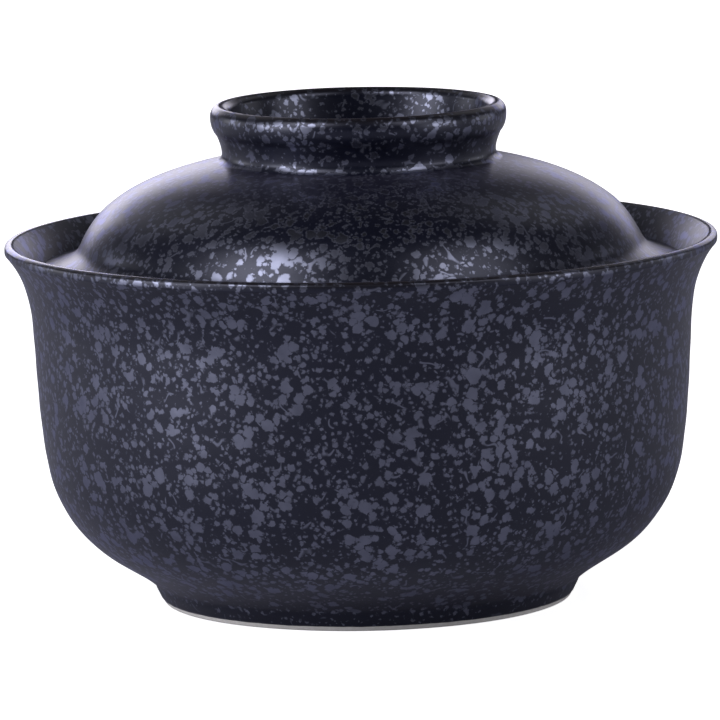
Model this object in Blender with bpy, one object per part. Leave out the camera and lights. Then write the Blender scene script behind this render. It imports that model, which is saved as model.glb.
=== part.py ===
"""Rice bowl with a lid: two turned pieces of speckled, glazed stoneware.

The bowl stands on a ring foot and flares at its rim. The domed lid drops inside the flare and rests
on it. The ring on top of the lid is its handle, and its foot when the lid lies upside down.

Frame: the origin is the centre of the plane the foot stands on, and +Z runs up the common axis.
"""

import math
from typing import NamedTuple

import bmesh
import bpy

MM = 0.001

# Bowl: overall sizes
RIM_DIAMETER = 160.0 * MM       # over the outside of the lip
BOWL_HEIGHT = 82.0 * MM         # from the table to the top of the lip
FOOT_DIAMETER = 96.0 * MM       # where the foot meets the body
FOOT_HEIGHT = 4.4 * MM

# Bowl: wall
LIP_THICKNESS = 3.0 * MM
WALL = 4.0 * MM
HAUNCH_WALL = 4.3 * MM
BELLY_WALL = 4.8 * MM
FLOOR_THICKNESS = 5.0 * MM
DISH_INSET = 14.0 * MM          # the nearly flat middle of the inside ends this far in from the foot
DISH_RISE = 0.9 * MM
DISH_SLOPE = 6.0

# Bowl: shape of the outside
FLARE_OVERHANG = 5.9 * MM       # the lip leans out this far past the side
FLARE_DROP = 18.3 * MM          # the flare starts this far below the top
HAUNCH_INSET = 2.8 * MM         # the side draws in this much on its way down to the haunch
HAUNCH_HEIGHT = 31.4 * MM
BELLY_ACROSS = 0.52             # the belly's place between foot and haunch, across and up
BELLY_UP = 0.31
CREASE_SLOPE = 44.0             # slopes in degrees from level
BELLY_SLOPE = 38.0
HAUNCH_SLOPE = 79.5
SIDE_SLOPE = 86.0
LIP_SLOPE = 50.0

# Bowl: foot ring
FOOT_WIDTH = 7.0 * MM           # across the ring, from the crease to the recess
FOOT_TAPER = 1.5 * MM           # the ring's outside draws in this much towards the table
FOOT_SLOPE = 79.0
FOOT_EDGE_SLOPE = 62.0          # at the top of the outer edge's rounding
FOOT_ROUND = 1.1 * MM           # rounding of the ring's lower edges
RECESS_DEPTH = 4.2 * MM
RECESS_FILLET = 1.8 * MM

# Fit between lid and bowl
LID_CLEARANCE = 0.3 * MM
SEAT_DROP = 7.2 * MM            # the middle of the lid's edge lies this far below the bowl's top

# Lid: dome
EDGE_THICKNESS = 3.0 * MM
DOME_WALL = 3.8 * MM
CROWN_THICKNESS = 4.5 * MM      # the plate inside the handle ring
BRIM_WIDTH = 9.4 * MM           # from the edge in to the shoulder
SHOULDER_HEIGHT = 7.4 * MM      # heights on the lid count from the underside of its edge
DOME_BEND_INSET = 6.3 * MM      # from the shoulder in to where the dome turns over
DOME_BEND_HEIGHT = 16.1 * MM
DOME_HEIGHT = 25.9 * MM         # where the handle ring rises
BRIM_SLOPE = 172.0              # slopes past 90 degrees lean towards the axis
SHOULDER_SLOPE = 116.0
DOME_BEND_SLOPE = 141.0
DOME_SLOPE = 168.0

# Lid: handle ring
HANDLE_DIAMETER = 66.5 * MM     # over its lip
HANDLE_HEIGHT = 12.8 * MM
HANDLE_WALL = 4.2 * MM
HANDLE_LIP_DROP = 2.6 * MM      # the lip is widest this far below the top
HANDLE_LIP_HEIGHT = 6.7 * MM
HANDLE_LIP_STEP = 1.35 * MM     # the lip stands out this far over the neck's top
HANDLE_LIP_SLOPE = 46.0         # where the lip starts, over the neck's top
NECK_INSET = 2.5 * MM           # the neck's waist is this much smaller in radius than the lip
NECK_FILLET = 1.9 * MM
NECK_FLARE_SLOPE = 68.0
WELL_FILLET = 2.0 * MM

# Finish: linear colour and roughness of the fired glaze
BOWL_GLAZE = (0.033, 0.034, 0.062, 1.0)
LID_GLAZE = (0.036, 0.037, 0.066, 1.0)
GLAZE_ROUGHNESS = 0.38

# Facets
SEGMENTS = 64                   # round the axis
FACET_DEPTH = 0.10 * MM         # how far an outline's straight pieces may stray from its curves
MERGE_DISTANCE = 0.01 * MM      # closer points of the turned solid become one
SHARP_ANGLE = 40.0              # edges that turn more than this many degrees look sharp
SEAT_STEPS = 100                # steps along each straight piece in the search for the lid's seat


class Station(NamedTuple):
    """A point of an outline: its radius, its height and the slope the outline has there."""

    radius: float
    height: float
    slope: float


def inset(station, depth):
    """Return the station moved into the wall, square to the outline, by depth."""
    angle = math.radians(station.slope)
    return Station(station.radius - depth * math.sin(angle), station.height + depth * math.cos(angle),
                   station.slope)


def bend(start, end):
    """Return points from start up to, but not at, end, on a cubic curve that leaves and arrives
    along their slopes. Its handles suit a circular arc of the same turn, and it has as many points
    as keep it within the facet depth."""
    across, up = end.radius - start.radius, end.height - start.height
    chord = math.hypot(across, up)
    leave, arrive = math.radians(start.slope), math.radians(end.slope)
    turn = abs(arrive - leave)
    reach = chord / 3.0
    if turn > 0.01:
        reach = chord * (2.0 / 3.0) * math.tan(turn / 4.0) / math.sin(turn / 2.0)
    first = (start.radius + reach * math.cos(leave), start.height + reach * math.sin(leave))
    second = (end.radius - reach * math.cos(arrive), end.height - reach * math.sin(arrive))
    direct = math.atan2(up, across)
    swing = sum(abs(math.remainder(way - direct, math.tau)) for way in (leave, arrive))
    steps = max(1, math.ceil(math.sqrt(chord * swing / (8.0 * FACET_DEPTH))))
    points = []
    for step in range(steps):
        t = step / steps
        weights = ((1 - t) ** 3, 3 * t * (1 - t) ** 2, 3 * t * t * (1 - t), t ** 3)
        corners = (start[:2], first, second, end[:2])
        points.append(tuple(sum(w * c[i] for w, c in zip(weights, corners)) for i in (0, 1)))
    return points


def run(stations):
    """Return the points of a smooth outline through all the stations, both ends included."""
    points = []
    for start, end in zip(stations, stations[1:]):
        points += bend(start, end)
    return points + [stations[-1][:2]]


def rounding(radius, height, thickness, slopes):
    """Return the points of a half-round wall end, centred at the radius and height given, between
    the first and the last of the slopes. Each slope has a point, so the end's extremes are met."""
    return run([inset(Station(radius, height, slope), -thickness / 2) for slope in slopes])


def lip_middle():
    """Return the middle of the bowl's round lip, with the slope of the flare that carries it."""
    return Station((RIM_DIAMETER - LIP_THICKNESS) / 2, BOWL_HEIGHT - LIP_THICKNESS / 2, LIP_SLOPE)


def bowl_body():
    """Return the stations up the bowl's outside: crease, belly, haunch, side and lip."""
    crease = Station(FOOT_DIAMETER / 2, FOOT_HEIGHT, CREASE_SLOPE)
    side = Station(RIM_DIAMETER / 2 - FLARE_OVERHANG, BOWL_HEIGHT - FLARE_DROP, SIDE_SLOPE)
    haunch = Station(side.radius - HAUNCH_INSET, HAUNCH_HEIGHT, HAUNCH_SLOPE)
    belly = Station(crease.radius + BELLY_ACROSS * (haunch.radius - crease.radius),
                    crease.height + BELLY_UP * (haunch.height - crease.height), BELLY_SLOPE)
    return [crease, belly, haunch, side, inset(lip_middle(), -LIP_THICKNESS / 2)]


def bowl_inside():
    """Return the stations up the bowl's inside, each one wall in from its outer neighbour."""
    _, belly, haunch, side, lip = bowl_body()
    middle = Station(0.0, RECESS_DEPTH + FLOOR_THICKNESS, 0.0)
    dish = Station(FOOT_DIAMETER / 2 - DISH_INSET, middle.height + DISH_RISE, DISH_SLOPE)
    return [middle, dish, inset(belly, BELLY_WALL), inset(haunch, HAUNCH_WALL), inset(side, WALL),
            inset(lip, LIP_THICKNESS)]


def foot_outline():
    """Return the points of the recess and the ring foot, from the axis out to the crease."""
    outer = FOOT_DIAMETER / 2
    inner = outer - FOOT_WIDTH
    recess = run([Station(0.0, RECESS_DEPTH, 0.0), Station(inner - RECESS_FILLET, RECESS_DEPTH, 0.0),
                  Station(inner, RECESS_DEPTH - RECESS_FILLET, -90.0)])
    tread_start = inner + FOOT_ROUND
    tread_end = outer - FOOT_TAPER - FOOT_ROUND
    tread = run([Station(inner, FOOT_ROUND, -90.0), Station(tread_start, 0.0, 0.0)])
    side = run([Station(tread_end, 0.0, 0.0),
                Station(outer - FOOT_TAPER, FOOT_ROUND, FOOT_EDGE_SLOPE),
                Station(outer, FOOT_HEIGHT, FOOT_SLOPE)])
    return recess + tread + side[:-1]


def bowl_outline():
    """Return the bowl's outline, from the recess's middle round to the middle of its inside."""
    middle = lip_middle()
    lip = rounding(middle.radius, middle.height, LIP_THICKNESS,
                   (middle.slope, 90.0, 180.0, middle.slope + 180.0))
    inside = run(bowl_inside())
    return foot_outline() + run(bowl_body()) + lip[1:-1] + inside[::-1]


def seat():
    """Return the radius and height of the middle of the lid's edge, where the lid rests.

    The edge is round. It goes out until it is one clearance from the bowl's inside."""
    height = BOWL_HEIGHT - SEAT_DROP
    reach = EDGE_THICKNESS / 2 + LID_CLEARANCE
    inside = run(bowl_inside())
    radius = RIM_DIAMETER / 2
    for (r0, z0), (r1, z1) in zip(inside, inside[1:]):
        for step in range(SEAT_STEPS + 1):
            share = step / SEAT_STEPS
            r, z = r0 + (r1 - r0) * share, z0 + (z1 - z0) * share
            if abs(z - height) < reach:
                radius = min(radius, r - math.sqrt(reach ** 2 - (z - height) ** 2))
    return radius, height


def lid_dome():
    """Return the stations up the dome's outside: brim, shoulder, bend and foot of the handle."""
    edge = EDGE_THICKNESS / 2
    middle_radius, _ = seat()
    brim = inset(Station(middle_radius, edge, BRIM_SLOPE), -edge)
    shoulder = Station(middle_radius + edge - BRIM_WIDTH, SHOULDER_HEIGHT, SHOULDER_SLOPE)
    turn_over = Station(shoulder.radius - DOME_BEND_INSET, DOME_BEND_HEIGHT, DOME_BEND_SLOPE)
    neck_radius = HANDLE_DIAMETER / 2 - NECK_INSET
    handle_foot = Station(neck_radius + NECK_FILLET, DOME_HEIGHT, DOME_SLOPE)
    return [brim, shoulder, turn_over, handle_foot]


def handle_outline():
    """Return the points of the handle ring and the well inside it, from its foot to the axis."""
    outer = HANDLE_DIAMETER / 2
    top = DOME_HEIGHT + HANDLE_HEIGHT
    lip_base = top - HANDLE_LIP_HEIGHT
    waist = Station(outer - NECK_INSET, DOME_HEIGHT + NECK_FILLET, 90.0)
    neck = run([lid_dome()[-1], waist, Station(outer - HANDLE_LIP_STEP, lip_base, NECK_FLARE_SLOPE)])
    band = Station(outer - HANDLE_LIP_STEP, lip_base, HANDLE_LIP_SLOPE)
    lip = run([band, Station(outer, top - HANDLE_LIP_DROP, 90.0),
               Station(outer - HANDLE_WALL / 2, top, 180.0),
               Station(outer - HANDLE_WALL, top - HANDLE_WALL / 2, 270.0)])
    floor = DOME_HEIGHT + NECK_FILLET / 2
    well_radius = outer - NECK_INSET - HANDLE_WALL / 2 - WELL_FILLET
    well = run([Station(well_radius, floor + WELL_FILLET, 270.0),
                Station(well_radius - WELL_FILLET, floor, 180.0), Station(0.0, floor, 180.0)])
    return neck[1:] + lip[1:] + well


def lid_outline():
    """Return the lid's outline, from the middle of its underside round to the well's middle."""
    brim, shoulder, turn_over, handle_foot = lid_dome()
    crown = Station(0.0, DOME_HEIGHT + NECK_FILLET / 2 - CROWN_THICKNESS, 180.0)
    under = run([inset(brim, EDGE_THICKNESS), inset(shoulder, DOME_WALL), inset(turn_over, DOME_WALL),
                 crown])
    middle_radius, _ = seat()
    edge = rounding(middle_radius, EDGE_THICKNESS / 2, EDGE_THICKNESS,
                    (brim.slope - 180.0, 0.0, 90.0, brim.slope))
    return under[::-1] + edge[1:-1] + run([brim, shoulder, turn_over, handle_foot]) + handle_outline()


def glaze(name, colour):
    """Return the fired glaze of one piece."""
    material = bpy.data.materials.new(name)
    material.use_nodes = True
    surface = material.node_tree.nodes["Principled BSDF"]
    surface.inputs["Base Color"].default_value = colour
    surface.inputs["Roughness"].default_value = GLAZE_ROUGHNESS
    surface.inputs["Metallic"].default_value = 0.0
    return material


def turned(name, outline, base_height, material):
    """Add the solid that the outline sweeps round the axis, with its origin at base_height."""
    mesh = bpy.data.meshes.new(name)
    work = bmesh.new()
    corners = [work.verts.new((radius, 0.0, height)) for radius, height in outline]
    edges = [work.edges.new(pair) for pair in zip(corners, corners[1:])]
    bmesh.ops.spin(work, geom=corners + edges, cent=(0, 0, 0), axis=(0, 0, 1), angle=math.tau,
                   steps=SEGMENTS, use_merge=True)
    bmesh.ops.remove_doubles(work, verts=work.verts, dist=MERGE_DISTANCE)
    bmesh.ops.recalc_face_normals(work, faces=work.faces)
    work.to_mesh(mesh)
    work.free()
    mesh.shade_smooth()
    mesh.set_sharp_from_angle(angle=math.radians(SHARP_ANGLE))
    mesh.materials.append(material)
    piece = bpy.data.objects.new(name, mesh)
    piece.location.z = base_height
    bpy.context.scene.collection.objects.link(piece)
    return piece


def main():
    """Build the bowl and its lid."""
    for old in list(bpy.data.objects):
        bpy.data.objects.remove(old, do_unlink=True)
    turned("bowl", bowl_outline(), 0.0, glaze("speckled_glaze_bowl", BOWL_GLAZE))
    _, edge_height = seat()
    turned("lid", lid_outline(), edge_height - EDGE_THICKNESS / 2, glaze("speckled_glaze_lid", LID_GLAZE))


main()
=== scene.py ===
"""Looks of the lidded rice bowl: midnight stoneware under a satin glaze with blue-grey oil spots.

Two turned pieces replace the frame's plain solids. Each one is an outline of stations joined by cubic
curves, carried round the axis on a grid, with the small unevenness of a thrown and glazed pot. The
glaze is one procedural material on Object coordinates, and the foot's tread is bare clay.
"""
import logging
import math
from dataclasses import dataclass, field, replace
from enum import Enum

import bpy
import numpy as np
from mathutils import Matrix, Vector


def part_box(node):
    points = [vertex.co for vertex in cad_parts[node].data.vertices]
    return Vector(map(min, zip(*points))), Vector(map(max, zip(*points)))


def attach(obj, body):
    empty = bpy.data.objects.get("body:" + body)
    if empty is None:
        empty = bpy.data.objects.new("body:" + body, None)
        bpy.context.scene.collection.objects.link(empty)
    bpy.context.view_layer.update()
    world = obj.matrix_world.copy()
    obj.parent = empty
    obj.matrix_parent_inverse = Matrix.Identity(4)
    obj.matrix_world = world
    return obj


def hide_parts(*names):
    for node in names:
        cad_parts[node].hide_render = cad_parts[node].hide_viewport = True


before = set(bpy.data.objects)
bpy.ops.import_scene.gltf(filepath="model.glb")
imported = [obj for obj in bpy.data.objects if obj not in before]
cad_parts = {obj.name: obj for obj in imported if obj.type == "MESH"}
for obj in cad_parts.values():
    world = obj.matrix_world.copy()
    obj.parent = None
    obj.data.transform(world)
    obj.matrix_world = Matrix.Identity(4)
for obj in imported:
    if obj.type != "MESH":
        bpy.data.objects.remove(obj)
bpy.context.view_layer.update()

MM = 0.001
LOG = logging.getLogger("rice_bowl")


class Coat(Enum):
    """How the glaze lies at a point. Each value names the mesh attribute that carries it."""

    GLAZE = "glaze"     # 1 under the full coat, 0 on bare clay
    SPOTS = "spots"     # the oil spots' size, as a share of the usual size
    THIN = "thin"       # how far the glaze has run off an edge


# ---------------------------------------------------------------------------------------------
# Outlines
# ---------------------------------------------------------------------------------------------

@dataclass(frozen=True)
class Station:
    """A point of an outline, in millimetres, with the slope in degrees that the outline has there.

    glaze, spots and thin are the values of Coat there.
    """

    radius: float
    height: float
    slope: float
    glaze: float = 1.0
    spots: float = 1.0
    thin: float = 0.0

    def moved_in(self, depth: float) -> "Station":
        """Move the station into the wall, square to the outline.

        Args:
            depth: distance in millimetres, negative to move outwards.

        Returns:
            The new station.
        """
        angle = math.radians(self.slope)
        return replace(self, radius=self.radius - depth * math.sin(angle),
                       height=self.height + depth * math.cos(angle))


@dataclass(frozen=True)
class Tracer:
    """Turns stations into dense points.

    Attributes:
        stray: how far the straight pieces may stray from the curves, in millimetres.
        stride: the longest straight piece, in millimetres.
    """

    stray: float = 0.004
    stride: float = 1.1

    def span(self, start: Station, end: Station) -> np.ndarray:
        """Trace one cubic curve, without its last point.

        The curve is P(t) = (1-t)^3 A + 3t(1-t)^2 B + 3t^2(1-t) C + t^3 D. B and C lie along the
        slopes at A and D, at the distance that suits a circular arc of the same turn.

        Args:
            start: the station it leaves.
            end: the station it arrives at.

        Returns:
            Rows of radius, height, glaze, spots and thin.
        """
        a, d = np.array([start.radius, start.height]), np.array([end.radius, end.height])
        leave, arrive = math.radians(start.slope), math.radians(end.slope)
        chord = float(np.hypot(*(d - a)))
        turn = abs(arrive - leave)
        reach = chord / 3.0
        if turn > 0.01:
            reach = chord * (2.0 / 3.0) * math.tan(turn / 4.0) / math.sin(turn / 2.0)
        b = a + reach * np.array([math.cos(leave), math.sin(leave)])
        c = d - reach * np.array([math.cos(arrive), math.sin(arrive)])
        direct = math.atan2(d[1] - a[1], d[0] - a[0])
        swing = sum(abs(math.remainder(way - direct, math.tau)) for way in (leave, arrive))
        steps = max(1, math.ceil(math.sqrt(chord * swing / (8.0 * self.stray))),
                    math.ceil(chord / self.stride))
        t = (np.arange(steps) / steps)[:, None]
        place = (1 - t) ** 3 * a + 3 * t * (1 - t) ** 2 * b + 3 * t ** 2 * (1 - t) * c + t ** 3 * d
        ease = t * t * (3 - 2 * t)
        first = np.array([start.glaze, start.spots, start.thin])
        last = np.array([end.glaze, end.spots, end.thin])
        return np.hstack([place, first + (last - first) * ease])

    def run(self, stations: list[Station]) -> np.ndarray:
        """Trace a smooth outline through all the stations, both ends included.

        Args:
            stations: the stations in order.

        Returns:
            Rows of radius, height, glaze, spots and thin.
        """
        last = stations[-1]
        end = np.array([[last.radius, last.height, last.glaze, last.spots, last.thin]])
        return np.vstack([self.span(a, b) for a, b in zip(stations, stations[1:])] + [end])


def half_round(middle: Station, thickness: float, slopes: tuple[float, ...]) -> list[Station]:
    """Give the stations of a half-round wall end.

    Args:
        middle: the centre of the rounding, with the glaze values of its ends.
        thickness: the wall's thickness in millimetres.
        slopes: the slopes in degrees at which to put a station, from first to last.

    Returns:
        One station for each slope.
    """
    return [replace(middle, slope=slope).moved_in(-thickness / 2) for slope in slopes]


# ---------------------------------------------------------------------------------------------
# The thrown surface
# ---------------------------------------------------------------------------------------------

@dataclass(frozen=True)
class Hand:
    """The unevenness that throwing and glazing leave, in millimetres.

    Attributes:
        ring: depth of the spiral rings that the fingers leave.
        ring_pitch: height from ring to ring.
        oval: how far the clay has moved out of round.
        ripple: depth of the slow waves in the glaze.
        phase: turns the whole pattern, so that two pieces differ.
        fade: radius within which all of it fades to nothing at the axis.
    """

    ring: float = 0.05
    ring_pitch: float = 8.5
    oval: float = 0.10
    ripple: float = 0.035
    phase: float = 0.0
    fade: float = 20.0

    def depth(self, angle: np.ndarray, radius: np.ndarray, height: np.ndarray) -> np.ndarray:
        """Work out how far each point lies inside the true turned form.

        depth = ring (1 + sin(2 pi z / pitch + a)) / 2 + oval (1 + cos(2a + p)) / 2
        + ripple (1 + sin(5a + 0.21 z) sin(3a - 0.13 r)) / 2, all of them zero or more.

        Args:
            angle: angle round the axis, in radians.
            radius: radius in millimetres.
            height: height in millimetres.

        Returns:
            Depths in millimetres, of the arrays' common shape.
        """
        a = angle + self.phase
        rings = self.ring * (1 + np.sin(math.tau * height / self.ring_pitch + a)) / 2
        oval = self.oval * (1 + np.cos(2 * a)) / 2
        ripple = self.ripple * (1 + np.sin(5 * a + 0.21 * height) * np.sin(3 * a - 0.13 * radius)) / 2
        return rings + oval + ripple


@dataclass(frozen=True)
class Turned:
    """A solid of revolution on a grid of outline points by angles.

    Attributes:
        name: the piece's name.
        outline: rows of radius, height, glaze, spots and thin, from axis to axis.
        hand: the unevenness to give it.
        around: points round the axis.
    """

    name: str
    outline: np.ndarray
    hand: Hand
    around: int = 288

    def normals(self) -> np.ndarray:
        """Return the outline's outward unit normals, from central differences."""
        along = np.gradient(self.outline[:, :2], axis=0)
        along /= np.maximum(np.hypot(along[:, 0], along[:, 1]), 1e-9)[:, None]
        return np.stack([along[:, 1], -along[:, 0]], axis=1)

    def build(self) -> bpy.types.Object:
        """Build the closed mesh.

        A point is P(u, a) = (R cos a, R sin a, Z), where (R, Z) is the outline's point u moved
        against its normal by the hand's depth. The depth fades to nothing at the axis, so each
        end of the outline closes in a single vertex.

        Returns:
            The new object, at the origin.
        """
        radius, height = self.outline[1:-1, 0][:, None], self.outline[1:-1, 1][:, None]
        normal = self.normals()[1:-1]
        angle = (np.arange(self.around) * math.tau / self.around)[None, :]
        fade = np.clip(radius / self.hand.fade, 0.0, 1.0)
        depth = self.hand.depth(angle, radius, height) * fade
        r = (radius - depth * normal[:, :1]) * MM
        z = (height - depth * normal[:, 1:]) * MM
        grid = np.stack([r * np.cos(angle), r * np.sin(angle), z], axis=-1)
        poles = np.array([[0, 0, self.outline[0, 1]], [0, 0, self.outline[-1, 1]]]) * MM
        places = np.vstack([grid.reshape(-1, 3), poles])

        rows = grid.shape[0]
        row = np.arange(rows - 1)[:, None] * self.around
        here = np.arange(self.around)[None, :]
        after = (here + 1) % self.around
        quads = np.stack([row + here, row + after, row + self.around + after,
                          row + self.around + here], axis=-1).reshape(-1, 4)
        first, last = rows * self.around, rows * self.around + 1
        here, after = here[0], after[0]
        top = (rows - 1) * self.around
        start_fan = np.stack([np.full_like(here, first), after, here], axis=-1)
        end_fan = np.stack([np.full_like(here, last), top + here, top + after], axis=-1)

        mesh = bpy.data.meshes.new(self.name)
        mesh.from_pydata(places.tolist(), [], quads.tolist() + start_fan.tolist() + end_fan.tolist())
        for column, layer in enumerate(Coat, start=2):
            values = np.concatenate([np.repeat(self.outline[1:-1, column], self.around),
                                     self.outline[[0, -1], column]])
            mesh.attributes.new(layer.value, "FLOAT", "POINT").data.foreach_set("value", values)
        mesh.shade_smooth()
        mesh.update()
        piece = bpy.data.objects.new(self.name, mesh)
        bpy.context.scene.collection.objects.link(piece)
        return piece


# ---------------------------------------------------------------------------------------------
# Finishes
# ---------------------------------------------------------------------------------------------

def linear(code: str) -> tuple[float, float, float, float]:
    """Turn an sRGB hex colour into linear red, green, blue and an alpha of 1.

    Args:
        code: such as "#1E2030".

    Returns:
        The linear colour.
    """
    parts = [int(code[i:i + 2], 16) / 255 for i in (1, 3, 5)]
    red, green, blue = (c / 12.92 if c <= 0.04045 else ((c + 0.055) / 1.055) ** 2.4 for c in parts)
    return red, green, blue, 1.0


def add_node(tree: bpy.types.NodeTree, kind: str, links: dict | None = None, **settings) -> bpy.types.Node:
    """Add a node with its settings and its links.

    Args:
        tree: the node tree.
        kind: the node's type, such as "ShaderNodeMath".
        links: input name or number to an output socket to link, or to a plain value to set.
        settings: properties of the node.

    Returns:
        The new node.
    """
    node = tree.nodes.new(kind)
    for name, value in settings.items():
        setattr(node, name, value)
    for key, value in (links or {}).items():
        if isinstance(value, bpy.types.NodeSocket):
            tree.links.new(value, node.inputs[key])
        else:
            node.inputs[key].default_value = value
    return node


@dataclass(frozen=True)
class Brush:
    """Adds the nodes that the finishes repeat, all laid out on Object coordinates.

    Attributes:
        tree: the node tree.
        place: the Object coordinates, in metres.
    """

    tree: bpy.types.NodeTree
    place: bpy.types.NodeSocket

    def noise(self, grain: float, detail: float, roughness: float = 0.5) -> bpy.types.Node:
        """Add a noise.

        Args:
            grain: the size of its lumps, in millimetres.
            detail: how many finer noises lie on it.
            roughness: how strong the finer noises are.

        Returns:
            The noise, with its outputs Fac and Color.
        """
        return add_node(self.tree, "ShaderNodeTexNoise", {
            "Vector": self.place, "Scale": 1 / (grain * MM), "Detail": detail, "Roughness": roughness,
        })

    def blend(self, factor: bpy.types.NodeSocket, first: "bpy.types.NodeSocket | float | str",
              second: "bpy.types.NodeSocket | float | str") -> bpy.types.NodeSocket:
        """Blend two colours or two numbers.

        Args:
            factor: 0 gives the first, 1 the second.
            first: a socket, a number or an sRGB hex colour.
            second: a socket, a number or an sRGB hex colour.

        Returns:
            The blend.
        """
        ends = [linear(end) if isinstance(end, str) else end for end in (first, second)]
        plain = any(isinstance(end, float) for end in ends)
        return add_node(self.tree, "ShaderNodeMix", {"Factor": factor, "A": ends[0], "B": ends[1]},
                        data_type="FLOAT" if plain else "RGBA").outputs["Result"]

    def maths(self, operation: str, *values: "bpy.types.NodeSocket | float") -> bpy.types.NodeSocket:
        """Do a sum.

        Args:
            operation: the node's operation, such as "ADD".
            values: sockets or numbers.

        Returns:
            The result.
        """
        return add_node(self.tree, "ShaderNodeMath", dict(enumerate(values)),
                        operation=operation).outputs["Value"]

    def ramp(self, value: bpy.types.NodeSocket, low: float, high: float, start: float = 0.0,
             end: float = 1.0, interpolation: str = "LINEAR") -> bpy.types.NodeSocket:
        """Map a range of values onto another, and hold the ends.

        Args:
            value: what to map.
            low: the value that gives start.
            high: the value that gives end.
            start: the result at low.
            end: the result at high.
            interpolation: "LINEAR", or "SMOOTHSTEP" for soft ends.

        Returns:
            The mapped value.
        """
        return add_node(self.tree, "ShaderNodeMapRange", {
            "Value": value, "From Min": low, "From Max": high, "To Min": start, "To Max": end,
        }, interpolation_type=interpolation).outputs["Result"]


@dataclass(frozen=True)
class SpotLayer:
    """One size of oil spot.

    Attributes:
        spacing: mean distance from spot to spot, in millimetres.
        least: the smallest spot's radius, as a share of the spacing.
        most: the largest spot's radius, as a share of the spacing.
        clustering: how much a cluster swells the spots, and a gap between clusters shrinks them.
    """

    spacing: float
    least: float
    most: float
    clustering: float


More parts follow.
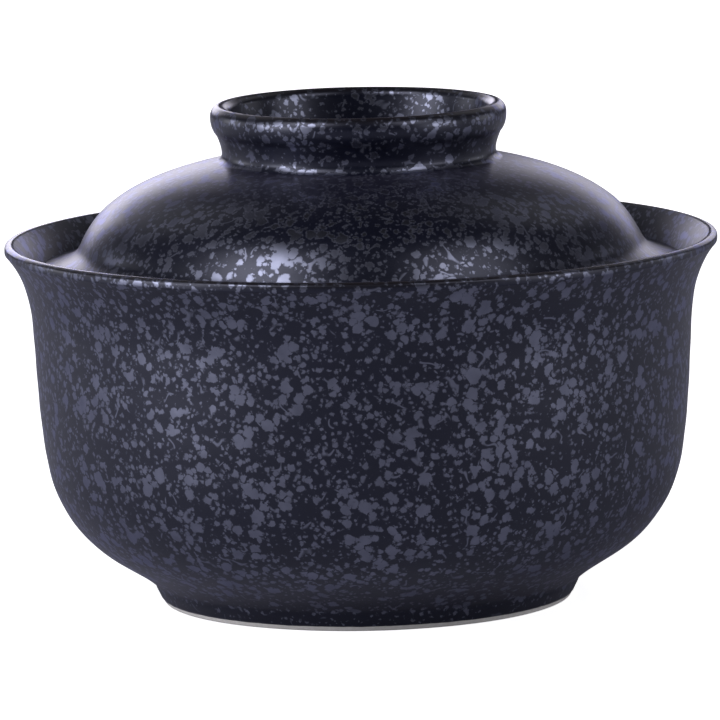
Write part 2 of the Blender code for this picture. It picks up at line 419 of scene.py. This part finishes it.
@dataclass(frozen=True)
class OilSpotGlaze:
    """Satin midnight-blue stoneware glaze with oil spots.

    The base is a near-black iron and cobalt glaze, so the eye sees mostly its soft reflection. The
    spots are thin sheets of metallic crystals that float on it: they reflect two to three times as
    much, in a bluish grey. They gather in clusters that run together, with a few threads drawn out
    between them. Where the coat ends, the fired clay is pale and dry. Lengths are in millimetres.
    """

    base: str = "#0A0C1B"
    base_deep: str = "#060813"
    base_roughness: float = 0.43
    spot: str = "#787A8B"
    spot_dark: str = "#575967"
    spot_roughness: float = 0.40
    specular: float = 0.50
    tint: str = "#DCDEF6"           # reflections keep a little of the blue
    thin_coat: str = "#1B1715"      # iron brown, where the glaze has run off an edge
    thin_roughness: float = 0.26
    bloom: float = 0.06             # the faint haze of micro-crystals that is seen at a glancing angle
    bloom_roughness: float = 0.4
    bloom_tint: str = "#CDC4EC"
    clay: str = "#E4E1DC"
    clay_dark: str = "#C8C3BC"
    clay_roughness: float = 0.85
    layers: tuple[SpotLayer, ...] = (
        SpotLayer(3.4, 0.17, 0.42, 0.38), SpotLayer(2.0, 0.15, 0.42, 0.32), SpotLayer(1.2, 0.00, 0.38, 0.15),
    )
    layer_offset: tuple[float, float, float] = (0.37, 0.11, 0.23)   # sets the layers apart, in metres
    edge: float = 0.17              # softness of a spot's edge
    wander: float = 1.15            # how far a spot's outline wanders
    wander_grain: float = 1.9
    cluster: float = 7.0            # mean distance from cluster to cluster
    cluster_span: tuple[float, float] = (0.32, 0.68)    # of the noise, from a gap to a cluster's middle
    thread_pitch: float = 6.5       # mean distance from thread to thread
    thread_width: float = 0.16      # half a thread's width
    thread_patch: tuple[float, float] = (0.60, 0.66)    # of the noise, from no thread to a full one
    tone_grain: float = 9.0         # clouds in the base's colour
    crystal_grain: float = 3.5      # clouds in the spots' colour
    clay_grain: float = 0.9
    coat_waver: float = 4.0         # waves in the line where the coat ends
    coat_softness: float = 0.07
    peel_grain: float = 1.6         # the orange-peel of the coat
    spot_rise: float = 0.25         # how proud a spot stands, as a share of the orange-peel's depth
    clay_grit: float = 3.0          # how deep the clay's grain is, as a share of the orange-peel's depth
    relief_depth: float = 0.03
    relief_strength: float = 0.35

    def build(self, name: str) -> bpy.types.Material:
        """Build the material.

        Args:
            name: the material's name.

        Returns:
            The material.
        """
        material = bpy.data.materials.new(name)
        material.use_nodes = True
        tree = material.node_tree
        tree.nodes.clear()
        brush = Brush(tree, add_node(tree, "ShaderNodeTexCoord").outputs["Object"])
        coat, share, thin = (add_node(tree, "ShaderNodeAttribute", attribute_name=layer.value).outputs["Fac"]
                             for layer in Coat)
        spots = self.spots(brush, share)
        cover = self.coat(brush, coat)
        grain = brush.noise(self.clay_grain, 4.0).outputs["Fac"]

        base = brush.blend(brush.noise(self.tone_grain, 3.0).outputs["Fac"], self.base_deep, self.base)
        base = brush.blend(thin, base, self.thin_coat)
        crystal = brush.blend(brush.noise(self.crystal_grain, 2.0).outputs["Fac"], self.spot_dark, self.spot)
        glazed = brush.blend(spots, base, crystal)
        clay = brush.blend(grain, self.clay_dark, self.clay)

        satin = brush.blend(spots, self.base_roughness, self.spot_roughness)
        coated = brush.blend(thin, satin, self.thin_roughness)
        surface = add_node(tree, "ShaderNodeBsdfPrincipled", {
            "Base Color": brush.blend(cover, clay, glazed),
            "Metallic": brush.maths("MULTIPLY", spots, cover),
            "Roughness": brush.blend(cover, self.clay_roughness, coated),
            "Normal": self.relief(brush, spots, cover, grain),
            "Specular IOR Level": self.specular, "Specular Tint": linear(self.tint),
            "Sheen Weight": self.bloom, "Sheen Roughness": self.bloom_roughness,
            "Sheen Tint": linear(self.bloom_tint),
        })
        add_node(tree, "ShaderNodeOutputMaterial", {"Surface": surface.outputs["BSDF"]})
        return material

    def spots(self, brush: Brush, share: bpy.types.NodeSocket) -> bpy.types.NodeSocket:
        """Draw the oil spots: every layer's blots, and the threads.

        Args:
            brush: adds the nodes.
            share: the spots' size, as a share of the usual size.

        Returns:
            A socket that is 1 on a spot and 0 beside it.
        """
        tree = brush.tree
        shake = brush.noise(self.wander_grain, 4.0, 0.65)
        centred = add_node(tree, "ShaderNodeVectorMath", {
            0: shake.outputs["Color"], 1: (0.5, 0.5, 0.5),
        }, operation="SUBTRACT")
        shift = add_node(tree, "ShaderNodeVectorMath", {
            0: centred.outputs["Vector"], "Scale": 2 * self.wander * MM,
        }, operation="SCALE")
        moved = add_node(tree, "ShaderNodeVectorMath", {
            0: brush.place, 1: shift.outputs["Vector"],
        }, operation="ADD").outputs["Vector"]
        gather = brush.noise(self.cluster, 2.0).outputs["Fac"]
        total = self.threads(brush, share)
        for number, layer in enumerate(self.layers):
            swell = brush.ramp(gather, *self.cluster_span, 1 - layer.clustering, 1 + layer.clustering)
            blots = self.blots(brush, moved, layer, number, brush.maths("MULTIPLY", swell, share))
            total = brush.maths("MAXIMUM", total, blots)
        return total

    def blots(self, brush: Brush, place: bpy.types.NodeSocket, layer: SpotLayer, number: int,
              size: bpy.types.NodeSocket) -> bpy.types.NodeSocket:
        """Draw one layer: balls round scattered points, cut by the surface into blots.

        Args:
            brush: adds the nodes.
            place: the wandering coordinates, in metres.
            layer: the layer's sizes.
            number: sets the layers apart.
            size: what every radius is multiplied by.

        Returns:
            A socket that is 1 on a blot and 0 beside it.
        """
        offset = add_node(brush.tree, "ShaderNodeVectorMath", {
            0: place, 1: tuple(number * step for step in self.layer_offset),
        }, operation="ADD")
        cells = add_node(brush.tree, "ShaderNodeTexVoronoi", {
            "Vector": offset.outputs["Vector"], "Scale": 1 / (layer.spacing * MM),
        })
        chance = add_node(brush.tree, "ShaderNodeSeparateColor", {"Color": cells.outputs["Color"]})
        spread = brush.ramp(chance.outputs["Red"], 0.0, 1.0, layer.least, layer.most)
        inside = brush.maths("SUBTRACT", brush.maths("MULTIPLY", spread, size), cells.outputs["Distance"])
        soft = self.edge / layer.spacing
        return brush.ramp(inside, -soft, soft, interpolation="SMOOTHSTEP")

    def threads(self, brush: Brush, share: bpy.types.NodeSocket) -> bpy.types.NodeSocket:
        """Draw short threads: where a slow noise crosses its middle value, in a few patches.

        Args:
            brush: adds the nodes.
            share: the spots' size, as a share of the usual size.

        Returns:
            A socket that is 1 on a thread and 0 beside it.
        """
        wave = brush.noise(self.thread_pitch, 1.0).outputs["Fac"]
        apart = brush.maths("ABSOLUTE", brush.maths("SUBTRACT", wave, 0.5))
        # This noise climbs by about its full range over one pitch.
        half = self.thread_width / self.thread_pitch
        line = brush.ramp(apart, half, 0.3 * half)
        patch = brush.noise(0.45 * self.thread_pitch, 0.0).outputs["Fac"]
        here = brush.ramp(patch, *self.thread_patch)
        return brush.maths("MULTIPLY", brush.maths("MULTIPLY", line, here), share)

    def coat(self, brush: Brush, coat: bpy.types.NodeSocket) -> bpy.types.NodeSocket:
        """Draw where the glaze ends, as a line that wavers by a fraction of a millimetre.

        Args:
            brush: adds the nodes.
            coat: the glaze attribute.

        Returns:
            A socket that is 1 on glaze and 0 on clay.
        """
        waver = brush.noise(self.coat_waver, 2.0).outputs["Fac"]
        return brush.ramp(brush.maths("ADD", coat, waver), 1 - self.coat_softness, 1 + self.coat_softness,
                          interpolation="SMOOTHSTEP")

    def relief(self, brush: Brush, spots: bpy.types.NodeSocket, cover: bpy.types.NodeSocket,
               grain: bpy.types.NodeSocket) -> bpy.types.NodeSocket:
        """Give the glaze a faint orange-peel, raise the spots a touch and make the clay gritty.

        Args:
            brush: adds the nodes.
            spots: 1 on a spot.
            cover: 1 on glaze.
            grain: the clay's grain.

        Returns:
            The bumped normal.
        """
        peel = brush.noise(self.peel_grain, 2.0).outputs["Fac"]
        raised = brush.maths("MULTIPLY_ADD", spots, self.spot_rise, peel)
        dry = brush.maths("MULTIPLY", grain, self.clay_grit)
        height = add_node(brush.tree, "ShaderNodeMix", {"Factor": cover, "A": dry, "B": raised})
        return add_node(brush.tree, "ShaderNodeBump", {
            "Height": height.outputs["Result"], "Strength": self.relief_strength,
            "Distance": self.relief_depth * MM,
        }).outputs["Normal"]


# ---------------------------------------------------------------------------------------------
# The two pieces
# ---------------------------------------------------------------------------------------------

@dataclass
class Bowl:
    """The bowl: ring foot, round belly, upright side and flared lip, in millimetres and degrees.

    The overall sizes come from the frame's solid, and the rest are the bowl's own.
    """

    rim_radius: float
    height: float
    lip: float = 3.0
    wall: float = 4.0
    haunch_wall: float = 4.3
    belly_wall: float = 4.8
    floor: float = 5.0
    overhang: float = 5.9           # of the rim, over the side
    flare_drop: float = 18.3        # from the top down to where the flare starts
    haunch_inset: float = 2.8       # of the haunch, from the side
    haunch_height: float = 31.4
    belly_out: float = 0.52         # share of the way out from the crease to the haunch
    belly_up: float = 0.31          # share of the way up
    lip_slope: float = 50.0
    side_slope: float = 86.0
    haunch_slope: float = 79.5
    belly_slope: float = 38.0
    crease_slope: float = 44.0
    dish_radius: float = 34.0       # of the nearly level middle of the inside
    dish_rise: float = 0.9
    dish_slope: float = 6.0
    foot_radius: float = 48.0
    foot_height: float = 4.4
    foot_width: float = 7.0
    foot_taper: float = 1.5
    foot_slope: float = 79.0
    foot_edge: float = 1.1          # how far the tread's edges are rounded, and bare of glaze
    recess: float = 4.2
    recess_fillet: float = 1.8
    coat: float = 0.2               # how far the glaze stands over the bare clay where it ends
    hand: Hand = field(default_factory=Hand)

    def body(self) -> list[Station]:
        """Return the stations up the outside, from the crease above the foot to the lip."""
        crease = Station(self.foot_radius, self.foot_height, self.crease_slope, spots=0.8)
        side = Station(self.rim_radius - self.overhang, self.height - self.flare_drop, self.side_slope)
        haunch = Station(side.radius - self.haunch_inset, self.haunch_height, self.haunch_slope)
        belly = Station(crease.radius + self.belly_out * (haunch.radius - crease.radius),
                        crease.height + self.belly_up * (haunch.height - crease.height), self.belly_slope)
        return [crease, belly, haunch, side, self.lip_middle().moved_in(-self.lip / 2)]

    def lip_middle(self) -> Station:
        """Return the middle of the round lip."""
        return Station(self.rim_radius - self.lip / 2, self.height - self.lip / 2, self.lip_slope)

    def inside(self) -> list[Station]:
        """Return the stations up the inside, each one wall in from its outer neighbour."""
        _, belly, haunch, side, lip = self.body()
        middle = Station(0.0, self.recess + self.floor, 0.0)
        dish = Station(self.dish_radius, middle.height + self.dish_rise, self.dish_slope)
        return [middle, dish, belly.moved_in(self.belly_wall), haunch.moved_in(self.haunch_wall),
                side.moved_in(self.wall), lip.moved_in(self.lip)]

    def foot(self, tracer: Tracer) -> np.ndarray:
        """Trace the recess and the ring foot, whose tread and lower edges are bare clay.

        Args:
            tracer: turns stations into points.

        Returns:
            The outline from the axis out to the crease.
        """
        edge, fillet = self.foot_edge, self.recess_fillet
        inner, low = self.foot_radius - self.foot_width, self.foot_radius - self.foot_taper
        recess = tracer.run([
            Station(0.0, self.recess, 0.0, spots=0.8), Station(inner - fillet, self.recess, 0.0, spots=0.8),
            Station(inner, self.recess - fillet, -90.0, spots=0.3),
            Station(inner, edge + 0.6, -90.0, spots=0.1),
        ])
        tread = tracer.run([
            Station(inner + self.coat, edge + 0.3, -90.0, glaze=0.0),
            Station(inner + edge, 0.0, 0.0, glaze=0.0),
        ])
        side = tracer.run([
            Station(low - edge, 0.0, 0.0, glaze=0.0), Station(low - 0.15, edge - 0.1, 62.0, glaze=0.0),
        ])
        # The glaze ends in a bead: it rolls in over a quarter of a millimetre and then follows the foot.
        bead = tracer.run([
            Station(low - 0.15 + self.coat, edge + 0.15, 40.0, spots=0.3),
            Station(low + 0.4, edge + 0.75, 66.0, spots=0.5),
            Station(self.foot_radius, self.foot_height, self.foot_slope, spots=0.7),
        ])
        return np.vstack([recess, tread, side, bead[:-1]])

    def outline(self, tracer: Tracer) -> np.ndarray:
        """Trace the whole outline, from the recess's middle round to the middle of the inside.

        Args:
            tracer: turns stations into points.

        Returns:
            Rows of radius, height, glaze, spots and thin.
        """
        middle = self.lip_middle()
        slopes = (middle.slope, 90.0, 180.0, middle.slope + 180)
        start, side, crest, end = half_round(middle, self.lip, slopes)
        # The lip is a little flattened where it is widest, and the glaze thins from there to the crest.
        below = replace(side, radius=side.radius - 0.03, height=side.height - 0.55, slope=80.0)
        above = replace(side, radius=side.radius - 0.03, height=side.height + 0.60, slope=99.0, thin=0.4)
        lip = tracer.run([start, below, side, above, replace(crest, thin=1.0), end])
        return np.vstack([self.foot(tracer), tracer.run(self.body()), lip[1:-1],
                          tracer.run(self.inside())[::-1]])

    def build(self, tracer: Tracer, glaze: bpy.types.Material) -> bpy.types.Object:
        """Build the bowl, dress it and put it in the frame.

        Args:
            tracer: turns stations into points.
            glaze: the finish.

        Returns:
            The piece.
        """
        piece = Turned("glazed_bowl", self.outline(tracer), self.hand).build()
        piece.data.materials.append(glaze)
        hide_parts("bowl")
        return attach(piece, "bowl")


@dataclass
class Lid:
    """The lid: brim, dome and ring handle, in millimetres and degrees.

    Heights count from the underside of the edge. Slopes past 90 degrees lean towards the axis.
    """

    edge_radius: float
    base: float
    height: float
    edge: float = 3.0
    wall: float = 3.8
    crown: float = 4.5
    brim: float = 9.4               # from the edge in to the shoulder
    brim_slope: float = 172.0
    shoulder_height: float = 7.4
    shoulder_slope: float = 116.0
    bend_inset: float = 6.3         # from the shoulder in to where the dome turns over
    bend_height: float = 16.1
    bend_slope: float = 141.0
    dome_slope: float = 168.0       # where the handle ring rises
    handle_radius: float = 33.25
    handle_height: float = 12.8
    handle_wall: float = 4.2
    lip_drop: float = 2.6           # the lip is widest this far below the top
    lip_height: float = 6.7
    lip_step: float = 1.35          # the lip stands out this far over the neck's top
    lip_slope: float = 46.0
    neck_inset: float = 2.5         # of the waist, from the lip
    neck_fillet: float = 1.9
    neck_slope: float = 68.0
    well_fillet: float = 2.0
    hand: Hand = field(default_factory=lambda: Hand(ring=0.04, oval=0.08, phase=2.1))

    def dome(self) -> list[Station]:
        """Return the stations up the dome: brim, shoulder, bend and the foot of the handle."""
        brim = self.edge_middle().moved_in(-self.edge / 2)
        shoulder = Station(self.edge_radius - self.brim, self.shoulder_height, self.shoulder_slope)
        bend = Station(shoulder.radius - self.bend_inset, self.bend_height, self.bend_slope)
        neck = self.handle_radius - self.neck_inset
        foot = Station(neck + self.neck_fillet, self.height - self.handle_height, self.dome_slope, spots=0.9)
        return [brim, shoulder, bend, foot]

    def edge_middle(self) -> Station:
        """Return the middle of the round edge."""
        return Station(self.edge_radius - self.edge / 2, self.edge / 2, self.brim_slope)

    def handle(self, tracer: Tracer) -> np.ndarray:
        """Trace the handle ring and the well inside it, from its foot to the axis.

        Args:
            tracer: turns stations into points.

        Returns:
            The outline, from the point after the dome's last.
        """
        outer, top = self.handle_radius, self.height
        rise = top - self.handle_height
        waist, lip_base = outer - self.neck_inset, top - self.lip_height
        # The spots are the glaze's own, but halfway round the crease's fillet they grow to one and a half
        # times their size, which paints a highlight: the lighter, metallic spots draw the bright line that
        # the crease catches.
        crease = self.neck_fillet * (1.0 - math.sqrt(0.5))
        neck = tracer.run([
            self.dome()[-1],
            Station(waist + crease, rise + crease, (self.dome_slope + 90.0) / 2, spots=1.5),
            Station(waist, rise + self.neck_fillet, 90.0, spots=0.8),
            Station(outer - self.lip_step, lip_base, self.neck_slope, spots=0.7),
        ])
        lip = tracer.run([
            Station(outer - self.lip_step, lip_base, self.lip_slope, spots=0.7),
            Station(outer, top - self.lip_drop, 90.0, spots=1.05),
            Station(outer - self.handle_wall / 2, top, 180.0, spots=0.7, thin=0.8),
            Station(outer - self.handle_wall, top - self.handle_wall / 2, 270.0, spots=0.8),
        ])
        floor = rise + self.neck_fillet / 2
        fillet = self.well_fillet
        well_radius = waist - self.handle_wall / 2 - fillet
        well = tracer.run([
            Station(well_radius, floor + fillet, 270.0), Station(well_radius - fillet, floor, 180.0),
            Station(0.0, floor, 180.0),
        ])
        return np.vstack([neck[1:], lip[1:], well])

    def outline(self, tracer: Tracer) -> np.ndarray:
        """Trace the whole outline, from the middle of the underside round to the well's middle.

        Args:
            tracer: turns stations into points.

        Returns:
            Rows of radius, height, glaze, spots and thin, with heights in the frame.
        """
        brim, shoulder, bend, foot = self.dome()
        rise = self.height - self.handle_height
        crown = Station(0.0, rise + self.neck_fillet / 2 - self.crown, 180.0)
        under = tracer.run([brim.moved_in(self.edge), shoulder.moved_in(self.wall), bend.moved_in(self.wall),
                            crown])
        slopes = (self.brim_slope - 180.0, 0.0, 90.0, self.brim_slope)
        edge = tracer.run(half_round(self.edge_middle(), self.edge, slopes))
        outline = np.vstack([under[::-1], edge[1:-1], tracer.run([brim, shoulder, bend, foot]),
                             self.handle(tracer)])
        outline[:, 1] += self.base
        return outline

    def build(self, tracer: Tracer, glaze: bpy.types.Material) -> bpy.types.Object:
        """Build the lid, dress it and put it in the frame.

        Args:
            tracer: turns stations into points.
            glaze: the finish.

        Returns:
            The piece.
        """
        piece = Turned("glazed_lid", self.outline(tracer), self.hand).build()
        piece.data.materials.append(glaze)
        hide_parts("lid")
        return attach(piece, "lid")


# ---------------------------------------------------------------------------------------------
# The studio
# ---------------------------------------------------------------------------------------------

@dataclass(frozen=True)
class Softbox:
    """A soft light on a stand, aimed at the bowl.

    Attributes:
        name: its name.
        azimuth: degrees round from the front, positive towards +X.
        elevation: degrees above the table.
        distance: metres from the bowl.
        size: width and height in metres.
        power: watts.
        colour: sRGB hex colour of the light.
    """

    name: str
    azimuth: float
    elevation: float
    distance: float
    size: tuple[float, float]
    power: float
    colour: str = "#FFFFFF"

    def build(self, aim: Vector) -> bpy.types.Object:
        """Build the light.

        Args:
            aim: the point it faces.

        Returns:
            The light's object.
        """
        lamp = bpy.data.lights.new(self.name, "AREA")
        lamp.shape = "RECTANGLE"
        lamp.size, lamp.size_y = self.size
        lamp.energy = self.power
        lamp.color = linear(self.colour)[:3]
        stand = bpy.data.objects.new(self.name, lamp)
        turn, rise = math.radians(self.azimuth), math.radians(self.elevation)
        way = Vector((math.sin(turn) * math.cos(rise), -math.cos(turn) * math.cos(rise), math.sin(rise)))
        stand.location = aim + way * self.distance
        stand.rotation_euler = way.to_track_quat("Z", "Y").to_euler()
        stand.visible_camera = False
        bpy.context.scene.collection.objects.link(stand)
        return stand


@dataclass(frozen=True)
class LongLens:
    """The camera: a long lens a little above the rim.

    Attributes:
        distance: metres from the point it is aimed at.
        rise: degrees above the table.
        roll: degrees it is turned about its own axis.
        aim: the point it is aimed at, in millimetres.
        focal: focal length in millimetres.
        sensor: width of the sensor in millimetres.
        clip: the nearest and the farthest it sees, in metres.
    """

    distance: float = 1.85
    rise: float = 8.25
    roll: float = 1.17
    aim: tuple[float, float, float] = (-0.72, 0.0, 53.7)
    focal: float = 411.8
    sensor: float = 36.0
    clip: tuple[float, float] = (0.1, 60.0)

    def build(self) -> bpy.types.Object:
        """Build the camera and look through it.

        Returns:
            The camera.
        """
        rise, roll = math.radians(self.rise), math.radians(self.roll)
        way = Vector((0.0, -math.cos(rise), math.sin(rise)))
        right = Vector((1.0, 0.0, 0.0))
        up = way.cross(right)
        turned_right = right * math.cos(roll) - up * math.sin(roll)
        turned_up = right * math.sin(roll) + up * math.cos(roll)
        axes = Matrix((turned_right, turned_up, way)).transposed().to_4x4()
        lens = bpy.data.cameras.new("camera")
        lens.sensor_width, lens.lens = self.sensor, self.focal
        lens.clip_start, lens.clip_end = self.clip
        eye = bpy.data.objects.new("camera", lens)
        eye.matrix_world = Matrix.Translation(Vector(self.aim) * MM + way * self.distance) @ axes
        bpy.context.scene.collection.objects.link(eye)
        bpy.context.scene.camera = eye
        return eye


@dataclass(frozen=True)
class Studio:
    """A pale table and surroundings, soft lights and the camera.

    Attributes:
        surround: brightness of the room, as the bowl sees it.
        backdrop: brightness of the room, as the camera sees it.
        table: sRGB hex colour of the table, as the camera sees it.
        table_bounce: sRGB hex colour of the light that the table throws up at the bowl.
        table_glow: light of the table's own, which keeps it pale for the camera.
        table_rings: radii of the table's rings of facets, in metres.
        table_around: facets round the table.
        lights: the soft lights.
        aim: the point the lights face, in metres.
    """

    surround: float = 0.018
    backdrop: float = 1.0
    table: str = "#F4F4F4"
    table_bounce: str = "#CBCBD4"
    table_glow: float = 0.84
    table_rings: tuple[float, ...] = (0.3, 1.0, 3.0, 12.0)
    table_around: int = 96
    lights: tuple[Softbox, ...] = (
        Softbox("window_left", -65.0, 10.0, 1.5, (0.75, 0.6), 10.6, "#F8F9FF"),
        Softbox("window_right", 65.0, 10.0, 1.5, (0.75, 0.6), 5.0, "#F8F9FF"),
        Softbox("softbox_left", -50.0, 42.0, 1.5, (0.75, 0.7), 10.6, "#F8F9FF"),
        Softbox("softbox_right", 50.0, 42.0, 1.5, (0.75, 0.7), 5.0, "#F8F9FF"),
        Softbox("back_left", -140.0, 42.0, 1.5, (0.75, 0.7), 0.6),
        Softbox("back_right", 140.0, 42.0, 1.5, (0.75, 0.7), 0.6),
        Softbox("side_left", -114.0, 8.0, 1.5, (0.6, 0.5), 2.8, "#F8F9FF"),
        Softbox("side_right", 114.0, 8.0, 1.5, (0.6, 0.5), 1.5, "#F8F9FF"),
        Softbox("strip_left", -164.0, 12.0, 1.6, (0.7, 0.4), 3.6, "#F3EFFF"),
        Softbox("strip_right", 162.0, 12.0, 1.6, (0.7, 0.4), 2.0, "#F3EFFF"),
    )
    aim: tuple[float, float, float] = (0.0, 0.0, 0.05)

    def room(self) -> None:
        """Light the world evenly, and show it white behind the bowl."""
        world = bpy.data.worlds.new("studio")
        bpy.context.scene.world = world
        world.use_nodes = True
        tree = world.node_tree
        tree.nodes.clear()
        seen = add_node(tree, "ShaderNodeLightPath").outputs["Is Camera Ray"]
        strength = add_node(tree, "ShaderNodeMix", {"Factor": seen, "A": self.surround, "B": self.backdrop})
        glow = add_node(tree, "ShaderNodeBackground", {
            "Color": linear("#FFFFFF"), "Strength": strength.outputs["Result"],
        })
        add_node(tree, "ShaderNodeOutputWorld", {"Surface": glow.outputs["Background"]})

    def floor(self) -> bpy.types.Object:
        """Lay the table: a wide round sheet under the foot, which nobody looking from below sees.

        Its finish is matt white paper, so it shows as a pale field with the foot's soft shadow.

        Returns:
            The table.
        """
        count = self.table_around
        here = np.arange(count)
        after = (here + 1) % count
        angle = here * math.tau / count
        rings = np.array(self.table_rings)[:, None]
        points = np.stack([rings * np.cos(angle), rings * np.sin(angle), rings * 0 * angle], axis=-1)
        bands = [np.stack([i * count + here, (i + 1) * count + here, (i + 1) * count + after,
                           i * count + after], axis=-1) for i in range(len(self.table_rings) - 1)]
        mesh = bpy.data.meshes.new("table")
        mesh.from_pydata(points.reshape(-1, 3).tolist(), [], np.vstack(bands).tolist() + [here.tolist()])
        material = bpy.data.materials.new("matt_white_paper")
        material.use_nodes = True
        tree = material.node_tree
        surface = tree.nodes["Principled BSDF"]
        seen = add_node(tree, "ShaderNodeLightPath").outputs["Is Camera Ray"]
        paper = add_node(tree, "ShaderNodeMix", {
            "Factor": seen, "A": linear(self.table_bounce), "B": linear(self.table),
        }, data_type="RGBA")
        glow = add_node(tree, "ShaderNodeMath", {0: seen, 1: self.table_glow}, operation="MULTIPLY")
        tree.links.new(paper.outputs["Result"], surface.inputs["Base Color"])
        tree.links.new(glow.outputs["Value"], surface.inputs["Emission Strength"])
        surface.inputs["Emission Color"].default_value = linear("#FFFFFF")
        surface.inputs["Roughness"].default_value = 0.9
        surface.inputs["Specular IOR Level"].default_value = 0.1
        below = add_node(tree, "ShaderNodeNewGeometry").outputs["Backfacing"]
        clear = add_node(tree, "ShaderNodeBsdfTransparent").outputs["BSDF"]
        sheet = add_node(tree, "ShaderNodeMixShader", {0: below, 1: surface.outputs["BSDF"], 2: clear})
        tree.links.new(sheet.outputs["Shader"], tree.nodes["Material Output"].inputs["Surface"])
        mesh.materials.append(material)
        table = bpy.data.objects.new("table", mesh)
        bpy.context.scene.collection.objects.link(table)
        return table

    def build(self) -> None:
        """Build the room, the floor, the lights and the camera."""
        self.room()
        self.floor()
        for light in self.lights:
            light.build(Vector(self.aim))
        LongLens().build()
        bpy.context.scene.view_settings.view_transform = "Standard"


# ---------------------------------------------------------------------------------------------
# Putting it together
# ---------------------------------------------------------------------------------------------

def main() -> None:
    """Build the studio and the two pieces, and report each one."""
    logging.basicConfig(level=logging.INFO, format="%(name)s: %(message)s")
    Studio().build()
    tracer = Tracer()
    glaze = OilSpotGlaze()
    glossier = replace(glaze, base_roughness=0.33, spot_roughness=0.32)
    _, bowl_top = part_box("bowl")
    lid_low, lid_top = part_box("lid")
    bowl = Bowl(rim_radius=bowl_top.x / MM, height=bowl_top.z / MM)
    lid = Lid(edge_radius=lid_top.x / MM, base=lid_low.z / MM, height=(lid_top.z - lid_low.z) / MM)
    for part, coat in ((bowl, glaze), (lid, glossier)):
        name = type(part).__name__.lower()
        piece = part.build(tracer, coat.build(f"oil_spot_stoneware_glaze_{name}"))
        LOG.info("%s: %d faces", piece.name, len(piece.data.polygons))


if __name__ == "__main__":
    main()
